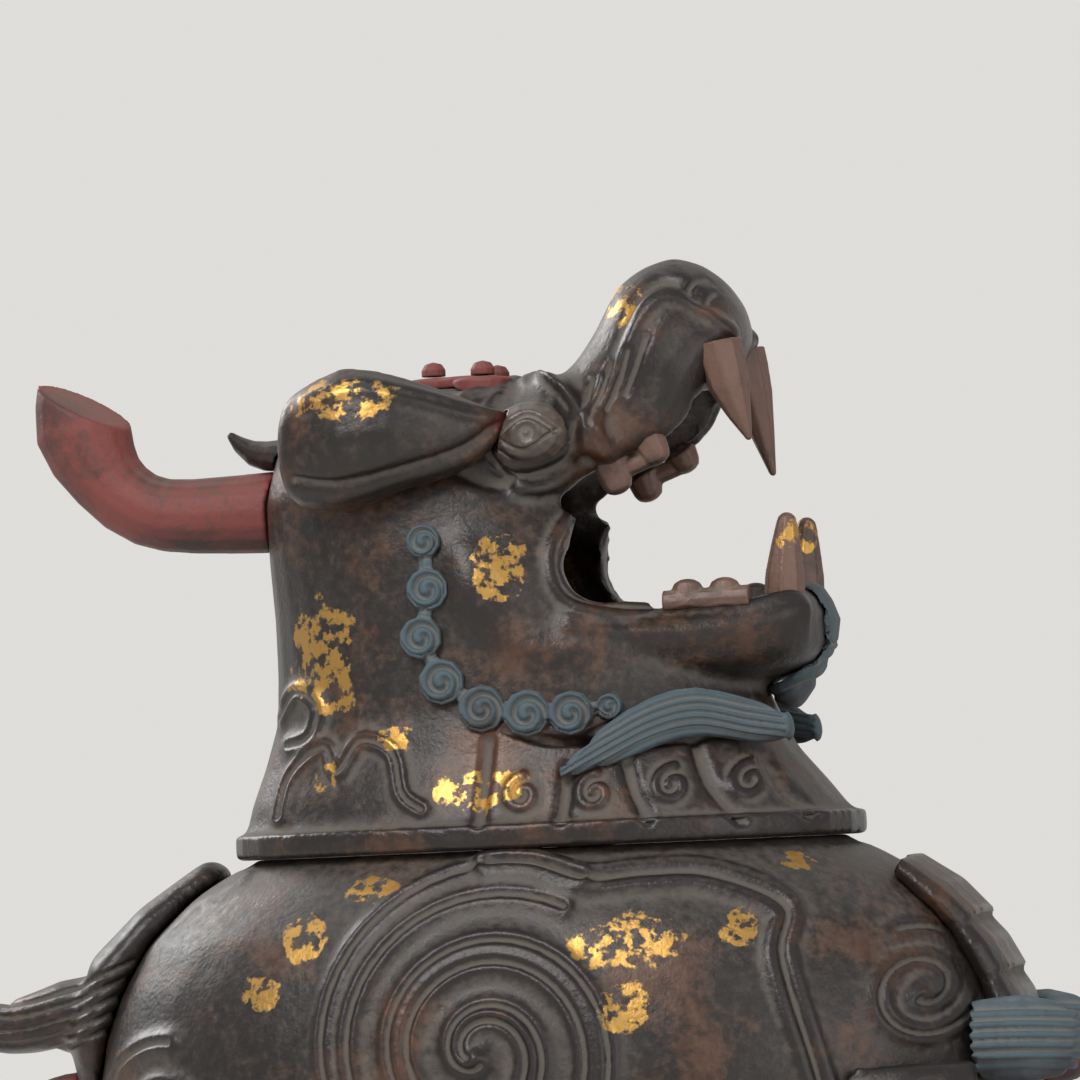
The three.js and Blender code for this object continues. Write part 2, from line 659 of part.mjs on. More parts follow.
/** The three-lobed crest on the forehead. */
function makeCrest() {
  const plate = (x, y, halfLength, halfWidth) => {
    const z = surfaceAt(headSolid, vector(x, y, 100), vector(0, 0, 1)).z;
    return loft(
      [
        section(x, y, z - 3, 90, halfWidth, halfLength),
        section(x, y, z + CREST_THICK, 90, halfWidth, halfLength),
      ],
      { around: 16, steps: 1, domes: [0, 0.8] },
    );
  };
  const lobes = [plate(-10, -10, 7.5, 6), plate(-10, 10, 7.5, 6), plate(-22, 0, 9, 6), plate(-15, 0, 9, 9)];
  return withoutOffcuts(joined(lobes).subtract(headSeat));
}

/** A knob standing on a lobe of the crest. */
function makeStud(x, y, crest) {
  const foot = surfaceAt(crest, vector(x, y, 100), vector(0, 0, 1)).z + GAP;
  const outline = [
    [0, 0],
    [STUD_RADIUS, 0],
    [STUD_RADIUS, 1.6],
    [STUD_RADIUS * 0.7, 3],
    [0, 3.6],
  ].map(([r, z]) => new THREE.Vector2(r, z));
  const stud = new THREE.LatheGeometry(outline, 12);
  stud.applyMatrix4(new THREE.Matrix4().makeRotationX(90 * DEGREE));
  return moved(stud, new THREE.Matrix4().makeTranslation(x, y, foot));
}

/** A curved tooth from inside the gum to its tip. */
function tooth(points, widths, domeLength) {
  const keys = points.map(([x, y, z, lean], i) => section(x, y, z, lean, widths[i], widths[i]));
  return loft(keys, { around: 8, domes: [0, domeLength] });
}

/** An upper fang: side is -1 for the short right one, 1 for the long left one. */
function makeUpperFang(side) {
  const length = side < 0 ? 15 : 22;
  const y = -MUZZLE_HALF_WIDTH + 9;
  const fang = tooth(
    [
      [49, y, 119, -80],
      [51.5, y, 108, -78],
      [55.5, y, 111 - length, -72],
    ],
    [6, 5, 1],
    1,
  );
  return onSide(withoutOffcuts(fang.subtract(headSeat.subtract(mouthSolid))), side);
}

/** A lower fang, standing just behind the lip. */
function makeLowerFang(side) {
  const y = -JAW_HALF_WIDTH + 13;
  const fang = tooth(
    [
      [62, y, 54, 88],
      [62.5, y, 63, 88],
      [63.5, y, 75, 86],
    ],
    [5, 4.8, 2.6],
    2.5,
  );
  return onSide(withoutOffcuts(fang.subtract(headSeat.subtract(mouthSolid))), side);
}

/** Two rounded cheek teeth that hang behind the upper lip. */
function makeUpperTeeth(side) {
  const y = -MUZZLE_HALF_WIDTH + 5;
  const lobes = [
    loft([section(22, y, 92, -70, 3.6, 4.8), section(24, y, 86, -70, 3, 3.8)], { around: 10, domes: [0, 2.5] }),
    loft([section(31, y, 98, -65, 3.6, 4.8), section(33.5, y, 92.5, -65, 3, 3.8)], { around: 10, domes: [0, 2.5] }),
    loft([section(20, y, 87.5, 20, 2, 2.4), section(33, y, 92.4, 22, 2, 2.4)], { around: 10 }),
  ];
  return onSide(withoutOffcuts(joined(lobes).subtract(headSeat.subtract(mouthSolid))), side);
}

/** The low row of cheek teeth behind the lower lip. */
function makeLowerTeeth(side) {
  const y = -JAW_HALF_WIDTH + 5;
  const lobes = [40, 49].map((x) =>
    loft([section(x, y, 56, 90, 3, 5.5), section(x, y, 60, 90, 2.2, 4)], { around: 10, domes: [0, 2.5] }),
  );
  lobes.push(loft([section(34, y, 57, 0, 2.6, 3), section(55, y - 0.5, 57.5, 0, 2.6, 3)], { around: 10 }));
  return onSide(withoutOffcuts(joined(lobes).subtract(headSeat.subtract(mouthSolid))), side);
}

/** The tongue, lying in the lower jaw with its tip turned up. */
function makeTongue() {
  const floor = JAW_TOP - 12 + GAP;
  return loft(
    [
      section(14, 0, floor + 3.2, 0, 9, 3, 2.6, 2.4),
      section(34, 0, floor + 3.4, 0, 11, 3, 2.8, 2.4),
      section(47, 0, floor + 5.2, 14, 9, 2.4, 2.4, 2.4),
      section(52, 0, floor + 7.4, 30, 4, 1.6, 1.6, 2.2),
    ],
    { around: 14, domes: [2, 2] },
  );
}

/** The row of hair curls under the cheek: centre X, centre height, radius. */
const CURLS = [
  [-20.6, 74, 5],
  [-19.9, 62.5, 6],
  [-21.9, 51, 6],
  [-17.2, 40.3, 6.4],
  [-7.6, 33.4, 6.6],
  [3.2, 31.8, 6.6],
  [13.4, 31.4, 6.2],
  [22.4, 32.6, 4],
];

function makeCurls(side) {
  const beads = CURLS.map(([x, z, radius]) => {
    const { y } = surfaceAt(headSolid, vector(x, 0, z), RIGHT);
    const bead = new THREE.CylinderGeometry(radius, radius - 1, 10, 10);
    return moved(bead, new THREE.Matrix4().makeTranslation(x, y + 2, z));
  });
  const links = CURLS.slice(1).map(([x, z], i) => {
    const [px, pz] = CURLS[i];
    const from = surfaceAt(headSolid, vector(px, 0, pz), RIGHT);
    const to = surfaceAt(headSolid, vector(x, 0, z), RIGHT);
    return peg(from, to, 2, 6);
  });
  return onSide(withoutOffcuts(joined([...beads, ...links]).subtract(headSeat)), side);
}

/** The combed lock that sweeps forward under the jaw. */
function makeWhisker(side) {
  const route = [
    [12, -47, 17.5, 2],
    [22, -44, 23, 5],
    [33, -38.5, 28.5, 6],
    [43, -33, 30.5, 6],
    [54, -27, 28, 5.5],
    [62, -24, 26.5, 4],
  ];
  const keys = route.map(([x, y, z, half]) => section(x, y, z, 8, 3.8, half, half, 2.2));
  return onSide(withoutOffcuts(loft(keys, { around: 12, domes: [1, 2] }).subtract(headSeat)), side);
}

/** The curled tuft on the chin. */
function makeChinTuft() {
  const tuft = loft(
    [
      section(64, 0, 57, -62, 10, 6, 6),
      section(67, 0, 51, -80, 13, 6, 6),
      section(65, 0, 43, -110, 12, 5, 6),
      section(60, 0, 34, -115, 8, 4, 6),
    ],
    { around: 16, domes: [3, 3] },
  );
  return withoutOffcuts(tuft.subtract(headSeat).subtract(mouthSolid));
}

/** A rolled lock of hair on the chest, combed across in ribs. */
function makeChestCurl(side) {
  const lock = loft(
    [
      section(104, -30, RIM_Z - 50, 0, 9, 9.5, 9.5),
      section(116, -27, RIM_Z - 50, 0, 10, 10.5, 10.5),
      section(125, -24, RIM_Z - 51, -8, 8.5, 8.5, 8.5),
    ],
    { around: 14, domes: [0, 5] },
  );
  return onSide(withoutOffcuts(lock.subtract(barrelSeat)), side);
}

/** A small flame-shaped knob on the chest or under the tail. */
function makeTuft(keys) {
  return loft(keys, { around: 12, domes: [2, 2] });
}

/** One named piece of the object, in its finish. */
function piece(name, solid, finish) {
  const mesh = new THREE.Mesh(geometryOf(solid), new THREE.MeshStandardMaterial(FINISHES[finish]));
  mesh.name = name;
  return mesh;
}

const SIDES = [
  ["right", -1],
  ["left", 1],
];

/** The body with everything that is fixed to it, and the liner that hangs in it. */
function makeBody() {
  const group = new THREE.Group();
  const holes = SIDES.flatMap(([, side]) => [true, false].map((front) => onSide(legTenon(front, FIT), side)));
  group.add(piece("body_shell", makeBodyShell(holes), "lacquer"));
  group.add(piece("incense_liner", makeLiner(), "brass"));
  const tail = makeTail();
  const plates = makeChestPlates();
  group.add(piece("tail", tail, "lacquer"));
  group.add(piece("chest_plates", plates, "lacquer"));
  SIDES.forEach(([label, side]) => {
    const frontLeg = makeLeg(true, side);
    group.add(piece("front_leg_" + label, frontLeg, "lacquer"));
    group.add(piece("rear_leg_" + label, makeLeg(false, side), "lacquer"));
    const curl = clearOf(clearOf(makeChestCurl(side), plates), frontLeg);
    group.add(piece("chest_curl_" + label, curl, "blue"));
  });
  const chestFlame = makeTuft([
    section(112, 0, RIM_Z - 56, 10, 8, 8, 8),
    section(124, 0, RIM_Z - 54, 10, 7, 7, 7),
    section(132, 0, RIM_Z - 51, 25, 4, 4, 4),
  ]);
  const tailFlame = makeTuft([
    section(-104, 0, RIM_Z - 58, 190, 12, 9, 8),
    section(-118, 0, RIM_Z - 56, 190, 10, 8, 6.5),
    section(-128, 0, RIM_Z - 55, 170, 5, 4, 4),
  ]);
  group.add(piece("chest_flame", clearOf(chestFlame.subtract(barrelSeat), plates), "red"));
  group.add(piece("tail_flame", clearOf(tailFlame.subtract(barrelSeat), tail), "red"));
  return group;
}

/** The head with everything that is fixed to it, standing on the joint face. */
function makeHead() {
  const group = new THREE.Group();
  group.position.z = RIM_Z;
  const holes = [hornTenon(FIT), ...SIDES.map(([, side]) => onSide(earTenon(FIT), side))];
  group.add(piece("head_shell", makeHeadShell(holes), "lacquer"));
  group.add(piece("spigot_ring", makeSpigot(), "brass"));
  const horn = makeHorn();
  group.add(piece("horn", horn, "red"));
  group.add(piece("nape_lock", clearOf(makeNapeLock(), horn), "lacquer"));
  group.add(piece("tongue", makeTongue(), "red"));
  group.add(piece("chin_tuft", makeChinTuft(), "blue"));
  const crest = makeCrest();
  group.add(piece("crest", crest, "red"));
  [
    [-10, -10],
    [-10, 10],
    [-24, 0],
  ].forEach(([x, y], i) => group.add(piece("crest_stud_" + (i + 1), makeStud(x, y, crest), "red")));
  SIDES.forEach(([label, side]) => {
    const ear = makeEar(side);
    group.add(piece("ear_" + label, ear, "lacquer"));
    group.add(piece("eye_" + label, clearOf(makeEye(side), ear), "lacquer"));
    group.add(piece("upper_fang_" + label, makeUpperFang(side), "tooth"));
    group.add(piece("lower_fang_" + label, makeLowerFang(side), "tooth"));
    group.add(piece("upper_teeth_" + label, makeUpperTeeth(side), "tooth"));
    group.add(piece("lower_teeth_" + label, makeLowerTeeth(side), "tooth"));
    group.add(piece("hair_curls_" + label, makeCurls(side), "blue"));
    group.add(piece("whisker_" + label, makeWhisker(side), "blue"));
  });
  return group;
}

const censer = new THREE.Group();
censer.add(makeBody(), makeHead());
const box = new THREE.Box3().setFromObject(censer);
const middle = box.getCenter(new THREE.Vector3());
censer.position.set(-middle.x, -middle.y, 0);

export default censer;
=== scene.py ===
"""Looks of a censer cast as a standing horned beast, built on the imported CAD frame.

Each cast piece is a finer copy of its CAD node, remeshed, softened and chased with relief along named curves.
Places are written in millimetres about the middle of the joint face between body and head, X forward and Z up.
"""

import logging
import math
from dataclasses import dataclass, field
from enum import Enum

import bpy
import numpy as np
from mathutils import Matrix, Vector


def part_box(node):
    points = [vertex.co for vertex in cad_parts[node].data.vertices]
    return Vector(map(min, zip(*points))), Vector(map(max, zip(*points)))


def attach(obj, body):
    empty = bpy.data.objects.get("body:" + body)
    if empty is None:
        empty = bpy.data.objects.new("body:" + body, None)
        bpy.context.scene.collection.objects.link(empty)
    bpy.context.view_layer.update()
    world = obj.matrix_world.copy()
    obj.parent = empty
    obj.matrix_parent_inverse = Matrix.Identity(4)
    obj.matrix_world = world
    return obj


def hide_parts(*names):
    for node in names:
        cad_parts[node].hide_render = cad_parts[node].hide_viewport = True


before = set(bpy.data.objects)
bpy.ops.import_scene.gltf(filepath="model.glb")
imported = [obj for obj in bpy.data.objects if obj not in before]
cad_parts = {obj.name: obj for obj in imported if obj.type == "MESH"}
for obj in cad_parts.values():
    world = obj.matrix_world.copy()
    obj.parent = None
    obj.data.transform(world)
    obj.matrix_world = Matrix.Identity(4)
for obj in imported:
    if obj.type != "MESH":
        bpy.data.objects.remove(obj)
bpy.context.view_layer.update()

log = logging.getLogger("censer")

MM = 0.001
MIRRORED_SIDES = ("right", "left")
CRISP_SHARE = 0.12
LINE_CHUNK = 10


class Shading(Enum):
    """How a finish's base colour is broken up."""

    LACQUER = "lacquer"
    PIGMENT = "pigment"
    METAL = "metal"


@dataclass(frozen=True)
class Finish:
    """Colours and surface values of one material.

    Attributes:
        name: the material's name.
        kind: which layers the shader gets.
        base: the colour of the clean surface.
        worn: the colour where the surface is rubbed.
        dust: the colour of what lies in the recesses.
        roughness: the clean surface's roughness.
        metallic: the clean surface's metallic value.
        grain: the noise scale of the fine grain, per metre.
        bump: the height of the fine grain, in metres.
    """

    name: str
    kind: Shading
    base: tuple[float, float, float]
    worn: tuple[float, float, float]
    dust: tuple[float, float, float]
    roughness: float
    metallic: float
    grain: float = 900.0
    bump: float = 0.00025


LACQUER = Finish(
    "aged_lacquer", Shading.LACQUER, (0.018, 0.013, 0.011), (0.085, 0.036, 0.017), (0.105, 0.090, 0.074), 0.30, 0.25
)
HORN_RED = Finish(
    "red_paint", Shading.PIGMENT, (0.165, 0.034, 0.026), (0.045, 0.020, 0.016), (0.17, 0.115, 0.090), 0.55, 0.0
)
BLUE = Finish(
    "blue_paint", Shading.PIGMENT, (0.052, 0.078, 0.092), (0.035, 0.027, 0.023), (0.16, 0.155, 0.14), 0.6, 0.0
)
TOOTH = Finish(
    "tooth_paint", Shading.PIGMENT, (0.125, 0.064, 0.045), (0.040, 0.023, 0.016), (0.17, 0.13, 0.092), 0.38, 0.1
)
EYE = Finish(
    "eye_paint", Shading.PIGMENT, (0.085, 0.062, 0.048), (0.030, 0.021, 0.017), (0.16, 0.145, 0.12), 0.28, 0.1
)
BRASS = Finish(
    "dull_brass", Shading.METAL, (0.30, 0.19, 0.075), (0.12, 0.07, 0.03), (0.18, 0.15, 0.11), 0.45, 1.0
)
GOLD = (0.47, 0.27, 0.075)
# Painted shade: the near-black laid over the downward faces of painted pieces.
UNDERSIDE_SHADE_COLOUR = (0.022, 0.016, 0.014)


class Shader:
    """A material's node tree, built a node at a time."""

    def __init__(self, name: str) -> None:
        self.material = bpy.data.materials.new(name)
        self.material.use_nodes = True
        self.tree = self.material.node_tree
        self.principled = self.tree.nodes["Principled BSDF"]

    def node(self, kind: str, **values: object) -> bpy.types.Node:
        """Adds a node. A value named like a socket sets it, and any other sets an attribute.

        Args:
            kind: the node's type without its ShaderNode prefix.
            **values: settings, with underscores for the spaces of socket names.

        Returns:
            The new node.
        """
        node = self.tree.nodes.new("ShaderNode" + kind)
        for key, value in values.items():
            socket = node.inputs.get(key.replace("_", " "))
            if socket is None:
                setattr(node, key, value)
            else:
                socket.default_value = value
        return node

    def link(self, source: bpy.types.NodeSocket, target: bpy.types.NodeSocket) -> None:
        """Links two sockets."""
        self.tree.links.new(source, target)

    def noise(self, scale: float, detail: float = 6.0) -> bpy.types.NodeSocket:
        """Noise in the object's own space, from 0 to 1."""
        place = self.node("TexCoord")
        noise = self.node("TexNoise", Scale=scale, Detail=detail, Roughness=0.6)
        self.link(place.outputs["Object"], noise.inputs["Vector"])
        return noise.outputs["Fac"]

    def mask(self, name: str) -> bpy.types.NodeSocket:
        """A value stored on the mesh's vertices."""
        return self.node("Attribute", attribute_name=name).outputs["Fac"]

    def ramp(self, value: bpy.types.NodeSocket, low: float, high: float) -> bpy.types.NodeSocket:
        """A smooth step of a value between two limits."""
        step = self.node("MapRange", interpolation_type="SMOOTHSTEP")
        step.inputs["From Min"].default_value = low
        step.inputs["From Max"].default_value = high
        self.link(value, step.inputs["Value"])
        return step.outputs["Result"]

    def math(self, operation: str, first: object, second: object) -> bpy.types.NodeSocket:
        """The result of arithmetic on two sockets or numbers."""
        node = self.node("Math", operation=operation)
        for socket, value in zip(node.inputs, (first, second)):
            if isinstance(value, bpy.types.NodeSocket):
                self.link(value, socket)
            else:
                socket.default_value = value
        return node.outputs["Value"]

    def mix(self, factor: object, first: object, second: object) -> bpy.types.NodeSocket:
        """A mix of two colours, each a socket or an RGB triple."""
        node = self.node("MixRGB")
        for socket, value in zip(node.inputs, (factor, first, second)):
            if isinstance(value, bpy.types.NodeSocket):
                self.link(value, socket)
            elif isinstance(value, tuple):
                socket.default_value = (*value, 1.0)
            else:
                socket.default_value = value
        return node.outputs["Color"]


def build_material(finish: Finish) -> bpy.types.Material:
    """A procedural material for a finish: wear, dust in the recesses, gold leaf where the mesh is marked, and on
    pigment finishes a painted shade that darkens the faces pointing down.
    """
    shader = Shader(finish.name)
    broad = shader.noise(38.0)
    fine = shader.noise(finish.grain, 8.0)
    speck = shader.noise(420.0, 5.0)
    worn = shader.ramp(shader.math("ADD", broad, shader.math("MULTIPLY", speck, 0.35)), 0.66, 0.86)
    colour = shader.mix(shader.math("MULTIPLY", worn, 0.8), finish.base, finish.worn)
    recess = shader.mask("recess")
    settled = shader.math("MULTIPLY", shader.mask("upward"), 0.22)
    dusty = shader.math("ADD", shader.math("ADD", recess, settled), shader.math("MULTIPLY", speck, 0.55))
    dust = shader.math("MULTIPLY", shader.ramp(dusty, 0.48, 1.02), 0.72)
    colour = shader.mix(dust, colour, finish.dust)
    roughness = shader.math("ADD", finish.roughness, shader.math("MULTIPLY", dust, 0.5))
    metallic: object = shader.math("MULTIPLY", shader.math("SUBTRACT", 1.0, dust), finish.metallic)
    if finish.kind is not Shading.METAL:
        pits = shader.ramp(shader.noise(260.0, 7.0), 0.46, 0.54)
        torn = shader.math("ADD", shader.mask("gold"), shader.math("MULTIPLY", shader.noise(120.0), 1.5))
        patch = shader.ramp(torn, 1.22, 1.32)
        leaf = shader.math("MULTIPLY", patch, pits)
        colour = shader.mix(leaf, colour, GOLD)
        metallic = shader.math("MAXIMUM", metallic, leaf)
    if finish.kind is not Shading.METAL:
        colour = shader.mix(shader.mask("blue"), colour, BLUE.base)
        colour = shader.mix(shader.mask("red"), colour, HORN_RED.base)
    if finish.kind is Shading.PIGMENT:
        # Painted shade: faces that point down are darkened towards a near-black, in patches.
        underside_shade = shader.math("MULTIPLY", shader.mask("downward_shade"), shader.ramp(broad, 0.3, 0.6))
        colour = shader.mix(shader.math("MULTIPLY", underside_shade, 0.85), colour, UNDERSIDE_SHADE_COLOUR)
    shader.link(colour, shader.principled.inputs["Base Color"])
    uneven = shader.math("ADD", roughness, shader.math("MULTIPLY", fine, 0.12))
    shader.link(uneven, shader.principled.inputs["Roughness"])
    shader.link(metallic, shader.principled.inputs["Metallic"])
    bump = shader.node("Bump", Strength=0.55, Distance=finish.bump)
    shader.link(shader.math("ADD", fine, shader.math("MULTIPLY", speck, 1.4)), bump.inputs["Height"])
    shader.link(bump.outputs["Normal"], shader.principled.inputs["Normal"])
    return shader.material


def smoothstep(low: float, high: float, values: np.ndarray) -> np.ndarray:
    """A smooth step from 0 below low to 1 above high."""
    t = np.clip((values - low) / (high - low), 0.0, 1.0)
    return t * t * (3.0 - 2.0 * t)


def smooth_line(points: list[tuple[float, float]], steps: int = 8) -> np.ndarray:
    """A Catmull-Rom curve through points.

    Args:
        points: the points it passes through, in millimetres.
        steps: how many stretches each span is cut into.

    Returns:
        The curve's points, one a row.
    """
    keys = np.array([points[0], *points, points[-1]], float)
    t = np.linspace(0.0, 1.0, steps, endpoint=False)[:, None]
    spans = []
    for p0, p1, p2, p3 in zip(keys, keys[1:], keys[2:], keys[3:]):
        cubic = 3 * p1 - p0 - 3 * p2 + p3
        spans.append(0.5 * (2 * p1 + (p2 - p0) * t + (2 * p0 - 5 * p1 + 4 * p2 - p3) * t**2 + cubic * t**3))
    return np.vstack([*spans, keys[-1:]])


def spiral(centre: tuple[float, float], outer: float, turns: float, start: float, inner: float = 3.0) -> np.ndarray:
    """A spiral's points in the XZ plane, winding in from its outer end.

    Args:
        centre: its middle, in millimetres.
        outer: its radius at the outer end.
        turns: how many turns it makes, negative for the other hand.
        start: the outer end's direction, in degrees.
        inner: its radius at the inner end.

    Returns:
        The points, one a row.
    """
    t = np.linspace(0.0, 1.0, int(40 * abs(turns)) + 12)
    radius = outer + (inner - outer) * t**0.9
    angle = math.radians(start) + turns * 2 * math.pi * t
    return np.stack([centre[0] + radius * np.cos(angle), centre[1] + radius * np.sin(angle)], 1)


def distance_to_line(points: np.ndarray, line: np.ndarray, reach: float) -> np.ndarray:
    """Each point's distance to a polyline, or infinity where that is more than a reach.

    Args:
        points: the points, one a row.
        line: the polyline's points, one a row.
        reach: how far from the line the distance is wanted.

    Returns:
        The distances.
    """
    best = np.full(len(points), np.inf)
    for first in range(0, len(line) - 1, LINE_CHUNK):
        part = line[first : first + LINE_CHUNK + 1]
        near = np.all((points > part.min(0) - reach) & (points < part.max(0) + reach), axis=1)
        index = np.flatnonzero(near)
        for start, end in zip(part, part[1:]):
            run = end - start
            length = float(run @ run)
            if length == 0.0:
                continue
            offset = points[index] - start
            t = np.clip((offset @ run) / length, 0.0, 1.0)
            best[index] = np.minimum(best[index], np.linalg.norm(offset - t[:, None] * run, axis=1))
    return best


@dataclass(frozen=True)
class Chase:
    """A line chased into or raised from the surface, seen from the side.

    Attributes:
        line: the curve's points in the XZ plane, in millimetres.
        width: half its width.
        height: how high it stands, negative for a groove.
        flat: the half width of its flat top.
        side_only: whether it fades out where the surface turns away from the side.
    """

    line: np.ndarray
    width: float
    height: float
    flat: float = 0.0
    side_only: bool = True


@dataclass(frozen=True)
class Patch:
    """A rough-edged patch of a colour layer, as an ellipse seen from the side."""

    layer: str
    centre: tuple[float, float]
    half: tuple[float, float]
    strength: float = 1.0


@dataclass
class Relief:
    """All that is chased and coloured on one piece."""

    chases: list[Chase] = field(default_factory=list)
    patches: list[Patch] = field(default_factory=list)


class Datum:
    """The joint face's middle in the row frame, and the change of units to and from it."""

    def __init__(self) -> None:
        low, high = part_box("spigot_ring")
        self.x = (low.x + high.x) / 2
        self.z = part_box("body_shell")[1].z

    def local(self, points: np.ndarray) -> np.ndarray:
        """Points of the row frame as millimetres about the joint face's middle."""
        return (points - np.array([self.x, 0.0, self.z])) / MM


class CastPiece:
    """A fine copy of one CAD node, softened, chased and painted."""

    def __init__(
        self,
        node: str,
        body: str,
        voxel: float,
        smooth: int,
        levels: int,
        crisp: tuple[float, float] | None,
        datum: Datum,
    ) -> None:
        """Copies and remeshes the node.

        Args:
            node: the CAD node's name.
            body: the CAD body that it rides on.
            voxel: the remesh's voxel size, in millimetres.
            smooth: how many rounds of smoothing it gets.
            levels: how often each face is then divided.
            crisp: the heights between which edges stay crisp, in millimetres, or None.
            datum: the joint face.
        """
        self.node = node
        self.body = body
        self.datum = datum
        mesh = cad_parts[node].data.copy()
        mesh.materials.clear()
        self.object = bpy.data.objects.new(node + "_cast", mesh)
        bpy.context.scene.collection.objects.link(self.object)
        remesh = self.object.modifiers.new("remesh", "REMESH")
        remesh.mode = "VOXEL"
        remesh.voxel_size = voxel * MM
        self.apply_modifiers()
        soften = self.object.modifiers.new("soften", "SMOOTH")
        soften.factor = 0.5
        soften.iterations = smooth
        if crisp is not None:
            soften.vertex_group = self.soft_group(*crisp)
        if levels:
            refine = self.object.modifiers.new("refine", "SUBSURF")
            refine.levels = levels
            refine.render_levels = levels
        self.apply_modifiers()

    def soft_group(self, low: float, high: float) -> str:
        """Marks what may be softened: all but the heights between low and high, in millimetres.

        Args:
            low: the lowest height that stays crisp.
            high: the highest height that stays crisp.

        Returns:
            The vertex group's name.
        """
        heights = self.datum.local(self.read("co"))[:, 2]
        crisp = np.flatnonzero((heights >= low) & (heights <= high))
        soft = np.flatnonzero((heights < low) | (heights > high))
        group = self.object.vertex_groups.new(name="soft")
        group.add(soft.tolist(), 1.0, "REPLACE")
        group.add(crisp.tolist(), CRISP_SHARE, "REPLACE")
        return group.name

    def apply_modifiers(self) -> None:
        """Writes the modifiers' result into the mesh."""
        graph = bpy.context.evaluated_depsgraph_get()
        made = bpy.data.meshes.new_from_object(self.object.evaluated_get(graph))
        self.object.modifiers.clear()
        self.object.data = made

    def read(self, name: str) -> np.ndarray:
        """The vertices' positions or normals, one a row."""
        vertices = self.object.data.vertices
        values = np.empty(len(vertices) * 3)
        source = self.object.data.vertex_normals if name == "vector" else vertices
        source.foreach_get(name, values)
        return values.reshape(-1, 3)

    def chase(self, relief: Relief) -> None:
        """Moves the surface along its normals for the relief, and stores the colour layers.

        Args:
            relief: what is chased and painted.
        """
        places = self.read("co")
        normals = self.read("vector")
        local = self.datum.local(places)
        outward = smoothstep(0.15, 0.6, normals[:, 1] * np.sign(local[:, 1]))
        seen = local[:, [0, 2]]
        height = np.zeros(len(places))
        for chase in relief.chases:
            reach = chase.flat + 2.6 * chase.width
            distance = np.maximum(distance_to_line(seen, chase.line, reach) - chase.flat, 0.0)
            amount = chase.height * np.exp(-((distance / chase.width) ** 2))
            height += amount * outward if chase.side_only else amount
        places += normals * (height * MM)[:, None]
        self.object.data.vertices.foreach_set("co", places.ravel())
        self.object.data.update()
        layers = {name: np.zeros(len(places)) for name in ("gold", "blue", "red")}
        for patch in relief.patches:
            offset = (seen - np.array(patch.centre)) / np.array(patch.half)
            edge = 1.0 - smoothstep(0.1, 1.7, np.linalg.norm(offset, axis=1))
            layers[patch.layer] = np.maximum(layers[patch.layer], edge * patch.strength)
        layers["recess"] = self.recess()
        layers["upward"] = smoothstep(0.25, 0.95, normals[:, 2])
        # Painted shade mask: how far each vertex's face points down.
        layers["downward_shade"] = smoothstep(0.1, 0.9, -normals[:, 2])
        for name, values in layers.items():
            layer = self.object.data.attributes.new(name, "FLOAT", "POINT")
            layer.data.foreach_set("value", values.astype(np.float32))

    def recess(self) -> np.ndarray:
        """How far each vertex lies below its neighbours, from 0 on a ridge to 1 in a groove."""
        mesh = self.object.data
        places = self.read("co")
        normals = self.read("vector")
        edges = np.empty(len(mesh.edges) * 2, np.int32)
        mesh.edges.foreach_get("vertices", edges)
        start, end = edges.reshape(-1, 2).T
        count = np.bincount(edges, minlength=len(places)).astype(float)[:, None]
        level = places.copy()
        here = np.concatenate([start, end])
        there = np.concatenate([end, start])
        for _ in range(6):
            sums = [np.bincount(here, level[there, axis], len(places)) for axis in range(3)]
            level = np.stack(sums, 1) / np.maximum(count, 1.0)
        depth = np.einsum("ij,ij->i", level - places, normals) / MM
        return np.clip(0.3 + 2.2 * depth, 0.0, 1.0)

    def finish(self, material: bpy.types.Material, slot: str) -> bpy.types.Object:
        """Gives the piece its material and hands it to the frame."""
        self.object.data.materials.append(material)
        self.object.data.polygons.foreach_set("use_smooth", [True] * len(self.object.data.polygons))
        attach(self.object, self.body)
        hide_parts(self.node)
        return self.object


class BodyRelief:
    """The barrel's chasing: spirals on the flank, a wave band and the border of the back strip."""

    FLANK = (-5.5, -47.3)
    FRONT = (93.5, -37.2)
    REAR = (-88.0, -62.0)
    WAVE = [
        (-5, -4), (5, -4.5), (17, -8.3), (32, -7.5), (46.8, -8.5),
        (63.6, -16.4), (63.5, -28), (69.5, -49.5), (72.7, -62),
    ]
    SEAM = [(-71.8, -2.5), (-86.9, -9.5), (-99.8, -21), (-105.1, -29), (-110.6, -41.7)]

    def relief(self) -> Relief:
        """Everything that is chased and gilded on the barrel."""
        chases: list[Chase] = []
        for centre, outer, turns, start in (
            (self.FLANK, 45, 2.6, 60),
            (self.FLANK, 38, 2.4, 60),
            (self.FRONT, 15, -1.6, 110),
            (self.REAR, 20, 1.8, 80),
        ):
            line = spiral(centre, outer, turns, start)
            chases.append(Chase(line, 2.2, 1.5, 0.9))
            chases.append(Chase(line, 0.9, -1.0))
        for centre, radius in ((self.FLANK, 4.5), (self.FRONT, 3.0), (self.REAR, 3.5)):
            chases.append(Chase(np.array([centre, (centre[0] + 0.1, centre[1])]), radius, 2.4))
        for line in (smooth_line(self.WAVE), smooth_line(self.SEAM)):
            chases.append(Chase(line, 1.6, 1.6, 2.6))
            chases.append(Chase(line, 0.9, -1.3))
        patches = [
            Patch("gold", (29, -23), (14, 7)),
            Patch("gold", (28, -38), (8, 7)),
            Patch("gold", (-50, -19), (6, 6)),
            Patch("gold", (-60, -31), (6, 5)),
            Patch("gold", (-33, -8), (8, 4), 0.8),
            Patch("gold", (66, -6), (6, 3), 0.8),
            Patch("gold", (54, -21), (5, 5)),
        ]
        return Relief(chases, patches)


